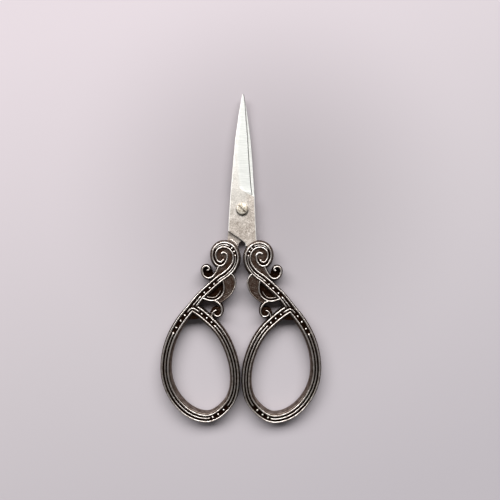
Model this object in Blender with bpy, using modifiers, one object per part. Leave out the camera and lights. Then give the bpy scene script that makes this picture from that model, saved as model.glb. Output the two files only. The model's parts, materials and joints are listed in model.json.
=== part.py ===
"""Embroidery scissors: two steel blades, two cast scroll handles and the screw that joins them.

Lengths are in metres. The closed scissors lie on z = 0 with their tips toward +Y, and x = 0 is
the middle plane between the handles. Each piece is modelled about the screw's axis. The front
half is the upper blade with the right handle; the rear half is the front half turned over.
"""
import math

import bmesh
import bpy
from mathutils import Matrix, Vector

MM = 0.001

# Overall sizes
BLADE_REACH = 40.3 * MM       # screw axis to the tips
HANDLE_REACH = 74.7 * MM      # screw axis to the foot of the loops
SPREAD = 56.4 * MM            # across both closed loops
THICKNESS = 5.0 * MM          # handles, from the rails' lower lands to the upper ones
LOOPS_GAP = 0.35 * MM         # between the closed loops
CLEARANCE = 0.3 * MM          # between faces that touch on the real scissors

# Blades
BLADE_THICKNESS = 1.2 * MM
SPINE_AT_HEEL = 4.8 * MM      # blade axis to the spine, at the heel's corner
EDGE_AT_RICASSO = 3.5 * MM    # blade axis to the cutting edge, where the grinding ends
RICASSO_Y = 4.7 * MM
HEEL_Y = -7.8 * MM
FACET_WIDTH = 4.7 * MM        # ground face, across the blade
FACET_LAND = 0.15 * MM        # steel left at the cutting edge
TANG_ENTRY = 3.8 * MM         # tang's width where it enters the casting
TANG_TIP = 1.9 * MM
TANG_DEPTH = 7.0 * MM         # length inside the casting
TANG_STEP = 0.3 * MM          # tang's outer side past the spine's distance from the axis
TANG_LEAN = 0.1 * MM          # tip's middle past the entry's middle
SOCKET_MOUTH = 2.0 * MM       # how far the socket's cut runs out above the casting
HEEL_DIP = 2.3 * MM           # heel's middle below its corner
HEEL_FOOT = 0.9 * MM          # heel's foot below the casting's top
SIDE_FOOT = 1.5 * MM          # foot of the blade's tail above the heel's corner
RICASSO_STEP = 0.4 * MM       # shoulder in the outline where the cutting edge starts

# Pivot screw
HEAD_DIAMETER = 4.3 * MM
HEAD_HEIGHT = 0.75 * MM
HEAD_CROWN = 0.25 * MM        # rise of the head's dome
SHOULDER_DIAMETER = 3.0 * MM
THREAD_DIAMETER = 2.4 * MM
PEEN_DIAMETER = 3.3 * MM
PEEN_HEIGHT = 0.45 * MM
SLOT_WIDTH = 0.6 * MM
SLOT_DEPTH = 0.35 * MM
SLOT_ANGLE = math.radians(-45)

# Cast band, which runs from the scroll round the loop
BAND_WIDTH = 2.3 * MM         # between the middles of its two rails
RAIL_WIDTH = 0.55 * MM
RELIEF = 0.5 * MM             # rails above the floor between them
RIB_DROP = 0.2 * MM           # rails above the middle rib
RIB_WIDTH = 0.42 * MM
OUTER_BELLY = 0.5 * MM        # outer wall's swell past the rail's middle
INNER_BELLY = 0.95 * MM       # finger side's swell past the rail's middle
BELLY_HEIGHT = 1.9 * MM       # upright part of both walls
BEAD_DIAMETER = 0.85 * MM
BEAD_DROP = 0.1 * MM          # rails above the beads

# Scroll and loop
EYE_X = 6.4 * MM              # middle of the scroll, from the screw axis
EYE_Y = -16.6 * MM
SCROLL_WIDTH = 8.95 * MM      # across the scroll's outer turn
APEX_X = 17.4 * MM            # where the loop's two branches meet
APEX_Y = -36.4 * MM

# Ornaments between scroll and apex
CURL_WIDTH = 1.15 * MM        # belly of the small curls and of the half-moon's bar
LEAF_RIM = 0.45 * MM
LEAF_DROP = 0.16 * MM         # rails above the leaf's rim
CURL_FLOOR_DROP = 0.9 * MM    # rails above the floor inside the lower curl
CREST_STEP = 0.03 * MM        # each ornament's crest is cut this much lower than the one before
FLOOR_STEP = 0.06 * MM        # and each floor likewise

TURN_STEP = math.radians(15)  # a curve has a point for each such turn
MAX_STEP = 3.6 * MM           # and no longer run than this

PIVOT_Y = (HANDLE_REACH - BLADE_REACH) / 2
MIDDLE = THICKNESS / 2
HALF_FLOOR = MIDDLE - RELIEF
SIDE_WIDTH = 0.94             # band's width at the loop's inner side, over BAND_WIDTH
FOOT_WIDTH = 1.07             # and at the loop's foot
LOOP_LEFT = LOOPS_GAP / 2 + OUTER_BELLY + SIDE_WIDTH * BAND_WIDTH
LOOP_RIGHT = SPREAD / 2 - OUTER_BELLY - BAND_WIDTH
LOOP_FOOT = -HANDLE_REACH + OUTER_BELLY + FOOT_WIDTH * BAND_WIDTH

STEEL = ((0.62, 0.60, 0.57), 0.35)
CASTING = ((0.20, 0.18, 0.17), 0.40)
SCREW_STEEL = ((0.66, 0.63, 0.58), 0.30)


def clear_scene():
    for thing in list(bpy.data.objects):
        bpy.data.objects.remove(thing, do_unlink=True)


def new_collection(name):
    group = bpy.data.collections.new(name)
    bpy.context.scene.collection.children.link(group)
    return group


def material(name, look):
    colour, roughness = look
    made = bpy.data.materials.new(name)
    made.use_nodes = True
    shader = made.node_tree.nodes["Principled BSDF"]
    shader.inputs["Base Color"].default_value = (*colour, 1.0)
    shader.inputs["Metallic"].default_value = 1.0
    shader.inputs["Roughness"].default_value = roughness
    return made


# Smooth lines in the plane of the scissors.
# A knot is (x, y, heading in degrees, width); the line passes it along its heading.

def heading_vector(degrees):
    return Vector((math.cos(math.radians(degrees)), math.sin(math.radians(degrees))))


def span_handles(start, end):
    """The four Bezier points from one knot to the next, close to an arc of a circle or ellipse."""
    first, last = Vector(start[:2]), Vector(end[:2])
    leave, arrive = heading_vector(start[2]), heading_vector(end[2])
    chord = last - first
    turn = math.radians(abs(end[2] - start[2]))
    reach_out = reach_in = chord.length / 3
    across = leave.x * arrive.y - leave.y * arrive.x
    if math.radians(8) < turn < math.radians(150) and abs(across) > 1e-6:
        out = (chord.x * arrive.y - chord.y * arrive.x) / across
        back = (leave.x * chord.y - leave.y * chord.x) / across
        if min(out, back) > 0.05 * chord.length:
            bow = 4 / 3 * math.tan(turn / 4) / math.tan(turn / 2)
            reach_out = min(bow * out, 1.5 * chord.length)
            reach_in = min(bow * back, 1.5 * chord.length)
    return first, first + leave * reach_out, last - arrive * reach_in, last


def spot(knots, place):
    """Point, left-hand normal and width at a place: knot number plus the share of its span."""
    number = min(int(place), len(knots) - 2)
    t = place - number
    a, b, c, d = span_handles(knots[number], knots[number + 1])
    s = 1 - t
    point = a * s ** 3 + b * 3 * s * s * t + c * 3 * s * t * t + d * t ** 3
    along = ((b - a) * s * s + (c - b) * 2 * s * t + (d - c) * t * t).normalized()
    width = knots[number][3] * s + knots[number + 1][3] * t
    return point, Vector((-along.y, along.x)), width


def places(knots, start, end):
    """Places from start to end, closer together where the line turns more."""
    found = [start]
    for number in range(len(knots) - 1):
        turn = math.radians(abs(knots[number + 1][2] - knots[number][2]))
        run = (Vector(knots[number + 1][:2]) - Vector(knots[number][:2])).length
        steps = max(1, math.ceil(turn / TURN_STEP), math.ceil(run / MAX_STEP))
        found += [number + k / steps for k in range(steps)]
    margin = 0.08
    inner = [place for place in found[1:] if start + margin < place < end - margin]
    return [start] + inner + [end]


def line(knots, start=0.0, end=None, share=0.0):
    """Points along the knots' line, moved to its left by a share of the width."""
    end = len(knots) - 1 if end is None else end
    points = []
    for place in places(knots, start, end):
        point, normal, width = spot(knots, place)
        points.append(point + normal * width * share)
    return points


def scroll_knot(across, up, heading, width):
    return (EYE_X + across * SCROLL_WIDTH, EYE_Y + up * SCROLL_WIDTH, heading, width * BAND_WIDTH)


def between(across, down, heading, width=1.0):
    """A knot placed by shares of the way from the scroll's eye to the apex."""
    return (EYE_X + across * (APEX_X - EYE_X), EYE_Y + down * (APEX_Y - EYE_Y),
            heading, width * BAND_WIDTH)


def loop_knot(across, down, heading, width):
    """A knot placed from the apex by shares of the way to the loop's side and to its foot."""
    side = LOOP_RIGHT - APEX_X if across > 0 else APEX_X - LOOP_LEFT
    return (APEX_X + across * side, APEX_Y + down * (APEX_Y - LOOP_FOOT),
            heading, width * BAND_WIDTH)


def band_knots():
    """The band's inner rail, from the scroll's eye down and round the loop to the apex."""
    return [
        scroll_knot(0.077, 0.106, 169, 0.40),
        scroll_knot(0.003, 0.147, 180, 0.42),
        scroll_knot(-0.150, 0.003, 270, 0.46),
        scroll_knot(0.129, -0.369, 360, 0.60),
        scroll_knot(0.428, 0.072, 450, 0.47),
        scroll_knot(-0.030, 0.537, 540, 0.69),
        scroll_knot(-0.572, -0.078, 630, 0.72),
        between(0.005, 0.408, 689, 0.83),
        between(0.515, 0.658, 677, 0.85),
        loop_knot(0.068, -0.013, 673, 1.00),
        loop_knot(0.480, -0.153, 670, 1.05),
        loop_knot(1.0, -0.539, 630, 1.00),
        loop_knot(0.279, -0.891, 584, 1.09),
        loop_knot(-0.380, -1.0, 540, FOOT_WIDTH),
        loop_knot(-0.830, -0.879, 489, 0.98),
        loop_knot(-1.0, -0.655, 450, SIDE_WIDTH),
        loop_knot(-0.953, -0.490, 436, 0.98),
        loop_knot(-0.496, -0.136, 404, 0.95),
        loop_knot(-0.019, 0.018, 388, 1.00),
    ]


# Meshes

def mesh_object(name, mesh, group):
    made = bpy.data.objects.new(name, mesh)
    group.objects.link(made)
    return made


def finish_mesh(mesh):
    """Welds a mesh that came from a curve and turns its faces outward."""
    work = bmesh.new()
    work.from_mesh(mesh)
    bmesh.ops.remove_doubles(work, verts=work.verts, dist=1e-7)
    bmesh.ops.recalc_face_normals(work, faces=work.faces)
    work.to_mesh(mesh)
    work.free()


def curve_to_mesh(curve, name, group):
    """Turns a curve object into a welded mesh object in the same place."""
    bpy.context.view_layer.update()
    graph = bpy.context.evaluated_depsgraph_get()
    mesh = bpy.data.meshes.new_from_object(curve.evaluated_get(graph))
    made = mesh_object(name, mesh, group)
    made.matrix_world = curve.matrix_world
    bpy.data.objects.remove(curve, do_unlink=True)
    finish_mesh(mesh)
    return made


def add_poly(data, points, cyclic):
    spline = data.splines.new("POLY")
    spline.points.add(len(points) - 1)
    for slot, point in zip(spline.points, points):
        slot.co = (point[0], point[1], 0.0, 1.0)
    spline.use_cyclic_u = cyclic


def plate(name, outlines, bottom, top, group):
    """A flat plate with the given outlines; the second and later ones are holes."""
    data = bpy.data.curves.new(name, "CURVE")
    data.dimensions = "2D"
    data.fill_mode = "BOTH"
    data.extrude = (top - bottom) / 2
    for points in outlines:
        add_poly(data, points, True)
    flat = mesh_object(name, data, group)
    flat.location.z = (bottom + top) / 2
    return curve_to_mesh(flat, name, group)


def floor_plate(name, outline, drop, group):
    """A web between rails, whose two faces lie the drop below the rails' crests."""
    return plate(name, [outline], drop, THICKNESS - drop, group)


def bar(name, points, section, group):
    """A bar with a constant section of (across, up) corners, swept along flat points."""
    profile = bpy.data.curves.new(name + "_section", "CURVE")
    profile.dimensions = "2D"
    profile.fill_mode = "NONE"
    add_poly(profile, section, True)
    shape = mesh_object(name + "_section", profile, group)
    data = bpy.data.curves.new(name, "CURVE")
    data.dimensions = "3D"
    data.twist_mode = "Z_UP"
    data.bevel_mode = "OBJECT"
    data.bevel_object = shape
    data.use_fill_caps = True
    add_poly(data, points, False)
    swept = mesh_object(name, data, group)
    swept.location.z = MIDDLE
    made = curve_to_mesh(swept, name, group)
    bpy.data.objects.remove(shape, do_unlink=True)
    return made


def pin(name, point, diameter, height, group):
    """An upright pin through the handle's middle plane."""
    mesh = bpy.data.meshes.new(name)
    work = bmesh.new()
    bmesh.ops.create_cone(work, cap_ends=True, segments=8, radius1=diameter / 2,
                          radius2=diameter / 2, depth=height)
    work.to_mesh(mesh)
    work.free()
    made = mesh_object(name, mesh, group)
    made.location = (point[0], point[1], MIDDLE)
    return made


def band_section(width, rib_height):
    """Corners of the band's section, once round: (distance from the inner rail, height)."""
    crown = min(RAIL_WIDTH / 2, 0.24 * width)
    foot = 1.1 * crown
    rib = min(RIB_WIDTH / 2, 0.09 * width)
    waist = width / 2
    upper = [
        (-INNER_BELLY, BELLY_HEIGHT / 2),
        (-crown, MIDDLE),
        (crown, MIDDLE),
        (foot, HALF_FLOOR),
        (waist - 1.2 * rib, HALF_FLOOR),
        (waist - rib, rib_height),
        (waist + rib, rib_height),
        (waist + 1.2 * rib, HALF_FLOOR),
        (width - foot, HALF_FLOOR),
        (width - crown, MIDDLE),
        (width + crown, MIDDLE),
        (width + OUTER_BELLY, BELLY_HEIGHT / 2),
    ]
    lower = [(across, -up) for across, up in reversed(upper)]
    return upper + lower


def has_rib(place):
    """The rib gives way to beads at the scroll, on the diagonal, past the apex and at the foot."""
    bare = ((0.0, 4.3), (5.35, 5.8), (7.5, 8.2), (8.95, 10.2), (13.2, 13.95), (17.0, 19.0))
    return not any(low < place < high for low, high in bare)


def band(name, knots, start, end, group):
    """A loft through the band's sections, whose width changes along the line."""
    mesh = bpy.data.meshes.new(name)
    work = bmesh.new()
    rings = []
    for place in places(knots, start, end):
        point, normal, width = spot(knots, place)
        rib_height = MIDDLE - RIB_DROP if has_rib(place) else HALF_FLOOR
        ring = []
        for across, up in band_section(width, rib_height):
            where = point + normal * across
            ring.append(work.verts.new((where.x, where.y, MIDDLE + up)))
        rings.append(ring)
    for near, far in zip(rings, rings[1:]):
        for k in range(len(near)):
            nxt = (k + 1) % len(near)
            work.faces.new((near[k], near[nxt], far[nxt], far[k]))
    work.faces.new(list(reversed(rings[0])))
    work.faces.new(rings[-1])
    bmesh.ops.recalc_face_normals(work, faces=work.faces)
    work.to_mesh(mesh)
    work.free()
    return mesh_object(name, mesh, group)


def curl_section(drop):
    """Section of the free curls: a rail's crown above and below a wider belly."""
    crown, belly, step = RAIL_WIDTH / 2, CURL_WIDTH / 2, 0.45 * BELLY_HEIGHT
    crest = MIDDLE - drop
    return [(-crown, crest), (-belly, step), (-belly, -step), (-crown, -crest),
            (crown, -crest), (belly, -step), (belly, step), (crown, crest)]


def rail_section(width, half_height):
    return [(-width / 2, half_height), (-width / 2, -half_height),
            (width / 2, -half_height), (width / 2, half_height)]


def outer_curl():
    return [between(0.125, 0.165, -58), between(0.286, 0.328, -52), between(0.464, 0.385, 0),
            between(0.668, 0.249, 90), between(0.546, 0.172, 180), between(0.440, 0.205, 235)]


def half_moon():
    return [between(0.640, 0.742, 200), between(0.372, 0.782, 180), between(-0.029, 0.568, 90),
            between(0.030, 0.395, 66)]


def inner_curl():
    return [between(0.290, 0.780, 196), between(0.027, 0.954, 270), between(0.165, 1.055, 360),
            between(0.285, 1.000, 90)]


def stem():
    return [between(0.375, 1.085, 105), between(0.306, 0.985, 128), between(0.215, 0.950, 185)]


def leaf_edge():
    return [between(-0.250, 0.305, 222), between(-0.391, 0.464, 270), between(-0.300, 0.622, 297),
            between(-0.077, 0.752, 322), between(0.135, 0.818, 350)]


def unite(base, pieces, name, group):
    """Joins the pieces to the base with one exact Boolean."""
    tools = new_collection(name + "_pieces")
    for piece in pieces:
        group.objects.unlink(piece)
        tools.objects.link(piece)
        piece.hide_render = True
        piece.display_type = "WIRE"
    joined = base.modifiers.new("unite", "BOOLEAN")
    joined.operation = "UNION"
    joined.solver = "EXACT"
    joined.operand_type = "COLLECTION"
    joined.collection = tools
    return apply_all(base, pieces)


def apply_all(thing, spent):
    """Bakes the modifiers into the mesh, then removes the spent operands."""
    bpy.context.view_layer.update()
    graph = bpy.context.evaluated_depsgraph_get()
    mesh = bpy.data.meshes.new_from_object(thing.evaluated_get(graph))
    thing.modifiers.clear()
    thing.data = mesh
    for piece in spent:
        bpy.data.objects.remove(piece, do_unlink=True)
    return thing


def cut(thing, cutter):
    """Cuts the cutter out of the thing."""
    cutter.hide_render = True
    cutter.display_type = "WIRE"
    taken = thing.modifiers.new("cut", "BOOLEAN")
    taken.operation = "DIFFERENCE"
    taken.solver = "EXACT"
    taken.object = cutter
    return apply_all(thing, [cutter])


def handle_mesh(cutters):
    """The right handle about the screw axis."""
    knots = band_knots()
    foot = 13
    base = band("handle", knots, 2.15, foot, cutters)
    pieces = [band("loop_inner_branch", knots, foot, len(knots) - 1, cutters)]
    rail = rail_section(2 * 0.22 * 0.46 * BAND_WIDTH, MIDDLE - CREST_STEP)
    pieces.append(bar("eye_rail", line(knots, 0.0, 2.3), rail, cutters))

    mouth, normal, width = spot(knots, 7.5)
    web = line(knots, 3.1, 7.5) + [mouth + normal * width]
    web += reversed(line(outer_curl(), 0.1, 1.0))
    pieces.append(floor_plate("scroll_web", web, RELIEF + FLOOR_STEP, cutters))

    ornaments = (("outer_curl", outer_curl()), ("half_moon", half_moon()),
                 ("inner_curl", inner_curl()), ("stem", stem()))
    for number, (name, shape) in enumerate(ornaments):
        section = curl_section((number + 2) * CREST_STEP)
        pieces.append(bar(name, line(shape), section, cutters))

    edge = line(leaf_edge())
    leaf = edge + line(half_moon(), 1.35, 2.8) + [spot(knots, 6.9)[0]]
    pieces.append(floor_plate("leaf", leaf, RELIEF + 2 * FLOOR_STEP, cutters))
    pieces.append(bar("leaf_rim", edge, rail_section(LEAF_RIM, MIDDLE - LEAF_DROP), cutters))

    curl_floor = line(inner_curl(), 0.55, 2.6)
    curl_floor += [Vector(between(0.361, 1.063, 0)[:2]), Vector(between(0.413, 0.990, 0)[:2]),
                   Vector(between(0.352, 0.917, 0)[:2]), Vector(between(0.254, 0.886, 0)[:2]),
                   Vector(between(0.147, 0.909, 0)[:2])]
    pieces.append(floor_plate("curl_floor", curl_floor, CURL_FLOOR_DROP, cutters))

    bead_places = (5.46, 5.67, 7.62, 7.83, 8.04, 9.25, 9.60, 10.04, 13.29, 13.54, 13.79,
                   17.12, 17.33, 17.55)
    for number, place in enumerate(bead_places):
        point, normal, width = spot(knots, place)
        pieces.append(pin("bead_%d" % number, point + normal * width / 2, BEAD_DIAMETER,
                          THICKNESS - 2 * BEAD_DROP, cutters))
    for number, end in enumerate((knots[0], outer_curl()[-1], stem()[-1])):
        pieces.append(pin("curl_end_%d" % number, end, 1.1 * BEAD_DIAMETER,
                          THICKNESS - 2 * (BEAD_DROP + CREST_STEP / 2), cutters))
    handle = unite(base, pieces, "handle", cutters)
    socket = plate("socket", [tang_outline(CLEARANCE)], MIDDLE - CLEARANCE / 2,
                   MIDDLE + BLADE_THICKNESS + 1.5 * CLEARANCE, cutters)
    return cut(handle, socket)


# Blade

def scroll_top():
    """Height of the casting's top, where the tang goes in."""
    return EYE_Y + 0.537 * SCROLL_WIDTH + OUTER_BELLY


def tang_corners():
    """Left and right sides of the tang at its entry and at its tip, from the screw axis."""
    entry_y = scroll_top()
    right = SPINE_AT_HEEL + TANG_STEP
    tip_middle = right - TANG_ENTRY / 2 + TANG_LEAN
    return entry_y, right - TANG_ENTRY, right, tip_middle - TANG_TIP / 2, tip_middle + TANG_TIP / 2


def tang_outline(grow):
    """The part of the tang that lies in the casting, grown on every side but its mouth."""
    entry_y, left, right, tip_left, tip_right = tang_corners()
    mouth = entry_y + SOCKET_MOUTH
    foot = entry_y - TANG_DEPTH - grow
    return [Vector((left - grow, mouth)), Vector((left - grow, entry_y)),
            Vector((tip_left - grow, foot)), Vector((tip_right + grow, foot)),
            Vector((right + grow, entry_y)), Vector((right + grow, mouth))]


def blade_outline():
    entry_y, left, right, tip_left, tip_right = tang_corners()
    unit = SPINE_AT_HEEL
    spine = line([(-0.025 * unit, BLADE_REACH, -101, 1), (-0.51 * unit, 0.645 * BLADE_REACH, -97.5, 1),
                  (-0.785 * unit, 0.273 * BLADE_REACH, -94.3, 1), (-unit, HEEL_Y, -91.5, 1)])
    heel = line([(-unit, HEEL_Y, -32, 1), (-0.25 * unit, HEEL_Y - HEEL_DIP, -35, 1),
                 (left, entry_y - HEEL_FOOT, -62, 1)])
    tang = [Vector((tip_left, entry_y - TANG_DEPTH)), Vector((tip_right, entry_y - TANG_DEPTH)),
            Vector((right, entry_y))]
    side = [Vector((unit, HEEL_Y + SIDE_FOOT)), Vector((0.93 * unit, 0.0)),
            Vector((0.89 * unit, RICASSO_Y - RICASSO_STEP)), Vector((0.84 * unit, RICASSO_Y))]
    edge = line([(EDGE_AT_RICASSO, RICASSO_Y + 0.6 * RICASSO_STEP, 98, 1),
                 (0.45 * unit, 0.49 * BLADE_REACH, 94.3, 1),
                 (0.28 * unit, 0.74 * BLADE_REACH, 97, 1), (0.025 * unit, BLADE_REACH, 103, 1)])
    return spine[:-1] + heel + tang + side + edge


def blade_mesh(cutters):
    """The front blade about the screw axis."""
    bottom = MIDDLE + CLEARANCE / 2
    top = bottom + BLADE_THICKNESS
    blade = plate("blade", [blade_outline()], bottom, top, cutters)
    blade = cut(blade, grinding_tool(bottom, cutters))
    bore = SHOULDER_DIAMETER + 2 * CLEARANCE
    return cut(blade, rod("bore", bore, bottom - CLEARANCE, top + CLEARANCE, cutters))


def rod(name, diameter, bottom, top, group):
    mesh = bpy.data.meshes.new(name)
    work = bmesh.new()
    bmesh.ops.create_cone(work, cap_ends=True, segments=32, radius1=diameter / 2,
                          radius2=diameter / 2, depth=top - bottom)
    work.to_mesh(mesh)
    work.free()
    made = mesh_object(name, mesh, group)
    made.location.z = (bottom + top) / 2
    return made


def grinding_tool(bottom, group):
    """A slab tilted about the cutting edge, whose lower face is the ground face.

    Its corner next to the ricasso is round, as the grinding wheel leaves it.
    """
    foot = Vector((EDGE_AT_RICASSO, RICASSO_Y))
    tip = Vector((0.025 * SPINE_AT_HEEL, BLADE_REACH))
    along = (tip - foot).normalized()
    rise = BLADE_THICKNESS - FACET_LAND
    tilt = math.atan2(rise, FACET_WIDTH)
    reach, wide, over = 1.4 * BLADE_REACH, 1.9 * FACET_WIDTH, 0.64 * FACET_WIDTH
    depth = 3.4 * BLADE_THICKNESS
    outline = [Vector((over, 0.0)), Vector((over, reach)), Vector((-wide, reach)),
               Vector((-wide, 1.16 * FACET_WIDTH))]
    outline += line([(-1.19 * FACET_WIDTH, 1.11 * FACET_WIDTH, -35, 1),
                     (-0.75 * FACET_WIDTH, 0.77 * FACET_WIDTH, -62, 1),
                     (-0.35 * FACET_WIDTH, 0.13 * FACET_WIDTH, -35, 1),
                     (0.26 * FACET_WIDTH, 0.0, 0, 1)])
    tool = plate("grinding", [outline], 0.0, depth, group)
    turn = math.atan2(-along.x, along.y)
    seat = Matrix.Translation((foot.x, foot.y, bottom + FACET_LAND))
    tool.matrix_world = seat @ Matrix.Rotation(turn, 4, "Z") @ Matrix.Rotation(tilt, 4, "Y") \
        @ Matrix.Translation((0, 0, depth / 2))
    return tool


# Screw

def screw_object(group, cutters):
    """The screw, turned about its axis, with its slot."""
    rear_bottom = MIDDLE - CLEARANCE / 2 - BLADE_THICKNESS
    front_top = MIDDLE + CLEARANCE / 2 + BLADE_THICKNESS
    head_bottom = front_top + CLEARANCE
    head_top = head_bottom + HEAD_HEIGHT
    shoulder_bottom = MIDDLE - CLEARANCE / 2 + CLEARANCE
    peen_top = rear_bottom - CLEARANCE
    peen_bottom = peen_top - PEEN_HEIGHT
    head, shoulder = HEAD_DIAMETER / 2, SHOULDER_DIAMETER / 2
    thread, peen = THREAD_DIAMETER / 2, PEEN_DIAMETER / 2
    profile = [(0.0, head_top), (0.5 * head, head_top - 0.25 * HEAD_CROWN),
               (0.85 * head, head_top - 0.7 * HEAD_CROWN), (head, head_top - 1.4 * HEAD_CROWN),
               (head, head_bottom), (shoulder, head_bottom), (shoulder, shoulder_bottom),
               (thread, shoulder_bottom), (thread, peen_top), (peen, peen_top),
               (0.8 * peen, peen_bottom + 0.1 * PEEN_HEIGHT), (0.0, peen_bottom)]
    mesh = bpy.data.meshes.new("pivot_screw")
    mesh.from_pydata([(x, 0.0, z) for x, z in profile],
                     [(k, k + 1) for k in range(len(profile) - 1)], [])
    screw = mesh_object("pivot_screw", mesh, group)
    turned = screw.modifiers.new("turn", "SCREW")
    turned.angle = 2 * math.pi
    turned.steps = 32
    turned.render_steps = 32
    turned.use_merge_vertices = True
    turned.merge_threshold = 1e-6
    slot_mesh = bpy.data.meshes.new("slot")
    work = bmesh.new()
    bmesh.ops.create_cube(work, size=1.0)
    bmesh.ops.scale(work, verts=work.verts, vec=(2 * HEAD_DIAMETER, SLOT_WIDTH, 2 * SLOT_DEPTH))
    work.to_mesh(slot_mesh)
    work.free()
    slot = mesh_object("slot", slot_mesh, cutters)
    slot.location.z = head_top
    slot.rotation_euler.z = SLOT_ANGLE
    return cut(screw, slot)


def turned_over(mesh):
    """A copy of a mesh turned half round about the Y axis, in the scissors' middle plane."""
    middle = Matrix.Translation((0, 0, MIDDLE))
    copy = mesh.copy()
    copy.transform(middle @ Matrix.Rotation(math.pi, 4, "Y") @ middle.inverted())
    return copy


def shade(mesh):
    mesh.shade_smooth()
    mesh.set_sharp_from_angle(angle=math.radians(35))


def place_piece(name, mesh, parent, look, group):
    piece = mesh_object(name, mesh, group)
    mesh.name = name
    piece.parent = parent
    mesh.materials.clear()
    mesh.materials.append(look)
    shade(mesh)
    return piece


def bake(thing):
    """Mesh of a finished object, in world space; the object is removed."""
    bpy.context.view_layer.update()
    mesh = thing.data
    mesh.transform(thing.matrix_world)
    bpy.data.objects.remove(thing, do_unlink=True)
    return mesh


def main():
    clear_scene()
    scissors = new_collection("embroidery_scissors")
    cutters = new_collection("cutters")
    steel = material("stamped_steel", STEEL)
    casting = material("antiqued_casting", CASTING)
    screw_steel = material("screw_steel", SCREW_STEEL)

    halves = []
    for name in ("front_half", "rear_half"):
        empty = mesh_object(name, None, scissors)
        empty.location = (0.0, PIVOT_Y, 0.0)
        halves.append(empty)
    front, rear = halves

    blade = bake(blade_mesh(cutters))
    handle = bake(handle_mesh(cutters))
    rear_blade = turned_over(blade)
    place_piece("front_blade", blade, front, steel, scissors)
    place_piece("right_handle", handle, front, casting, scissors)
    place_piece("left_handle", turned_over(handle), rear, casting, scissors)
    place_piece("rear_blade", rear_blade, rear, steel, scissors)
    screw = screw_object(scissors, cutters)
    screw.parent = rear
    screw.data.materials.clear()
    screw.data.materials.append(screw_steel)
    shade(screw.data)


main()
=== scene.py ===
"""Embroidery scissors: bright ground blades and antiqued cast scroll handles.

Lengths are in millimetres about the screw's axis, with z up from the table, until mesh_piece
puts them into metres. The front half is the upper blade with the right handle; the rear half is
the same turned half round about the Y axis, in the scissors' middle plane.
"""

import json
import math
from collections import namedtuple

import bpy
import numpy as np
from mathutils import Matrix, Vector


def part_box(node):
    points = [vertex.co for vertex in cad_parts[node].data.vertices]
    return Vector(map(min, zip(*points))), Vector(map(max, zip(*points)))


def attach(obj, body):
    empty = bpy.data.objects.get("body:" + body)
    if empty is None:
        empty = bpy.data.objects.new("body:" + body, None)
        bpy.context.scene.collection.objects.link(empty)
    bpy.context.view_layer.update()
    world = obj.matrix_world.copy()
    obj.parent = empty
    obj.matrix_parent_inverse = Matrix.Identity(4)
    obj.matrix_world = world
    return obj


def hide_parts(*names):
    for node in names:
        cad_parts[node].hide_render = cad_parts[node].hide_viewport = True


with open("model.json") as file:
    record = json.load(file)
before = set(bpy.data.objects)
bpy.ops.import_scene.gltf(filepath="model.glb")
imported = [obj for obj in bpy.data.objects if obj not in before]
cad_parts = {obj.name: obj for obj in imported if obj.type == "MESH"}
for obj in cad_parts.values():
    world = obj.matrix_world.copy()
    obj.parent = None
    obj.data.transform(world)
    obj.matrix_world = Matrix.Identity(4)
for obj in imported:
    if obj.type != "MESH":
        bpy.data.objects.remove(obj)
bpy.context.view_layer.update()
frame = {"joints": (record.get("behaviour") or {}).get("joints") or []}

MM = 0.001
hinge = next(joint for joint in frame["joints"] if joint["name"] == "blade_pivot")
handle_low, handle_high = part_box("right_handle")
blade_low, blade_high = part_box("front_blade")
screw_low, screw_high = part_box("pivot_screw")
PIVOT_Y = hinge["pos_m"][1] / MM
THICKNESS = handle_high.z / MM
MIDDLE = THICKNESS / 2
BLADE_REACH = blade_high.y / MM - PIVOT_Y
HANDLE_REACH = PIVOT_Y - handle_low.y / MM
SPREAD = 2 * handle_high.x / MM
BLADE_BOTTOM, BLADE_TOP = blade_low.z / MM, blade_high.z / MM
BLADE_THICKNESS = BLADE_TOP - BLADE_BOTTOM
HEAD_TOP, PEEN_BOTTOM = screw_high.z / MM, screw_low.z / MM

# Sizes that the CAD source names too; the outer belly is 0.02 less, to stay inside its box
LOOPS_GAP = 0.35
BAND_WIDTH = 2.3
RAIL_WIDTH = 0.55
RELIEF = 0.5
RIB_DROP = 0.2
RIB_WIDTH = 0.42
OUTER_BELLY = 0.48
INNER_BELLY = 0.95
BEAD_DROP = 0.1
EYE_X, EYE_Y = 6.4, -16.6
SCROLL_WIDTH = 8.95
APEX_X, APEX_Y = 17.4, -36.4
CURL_WIDTH = 1.15
LEAF_RIM = 0.45
LEAF_DROP = 0.16
CURL_FLOOR_DROP = 0.9
SPINE_AT_HEEL = 4.8
EDGE_AT_RICASSO = 3.5
RICASSO_Y = 4.7
HEEL_Y = -7.8
FACET_LAND = 0.15
TANG_ENTRY = 3.8
HEAD_DIAMETER = 4.3
SLOT_WIDTH = 0.6
SLOT_DEPTH = 0.35
SLOT_ANGLE = math.radians(-45)

# Room for the CAD's outer belly, and the band's width at the loop's inner side and at its foot
WALL_SPACE = 0.5
SIDE_WIDTH, FOOT_WIDTH = 0.94, 0.93
LOOP_LEFT = LOOPS_GAP / 2 + WALL_SPACE + SIDE_WIDTH * BAND_WIDTH
LOOP_RIGHT = SPREAD / 2 - WALL_SPACE - BAND_WIDTH
LOOP_FOOT = -HANDLE_REACH + WALL_SPACE + FOOT_WIDTH * BAND_WIDTH
HALF_FLOOR = MIDDLE - RELIEF
TANG_Y = EYE_Y + 0.537 * SCROLL_WIDTH + 0.5

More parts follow.
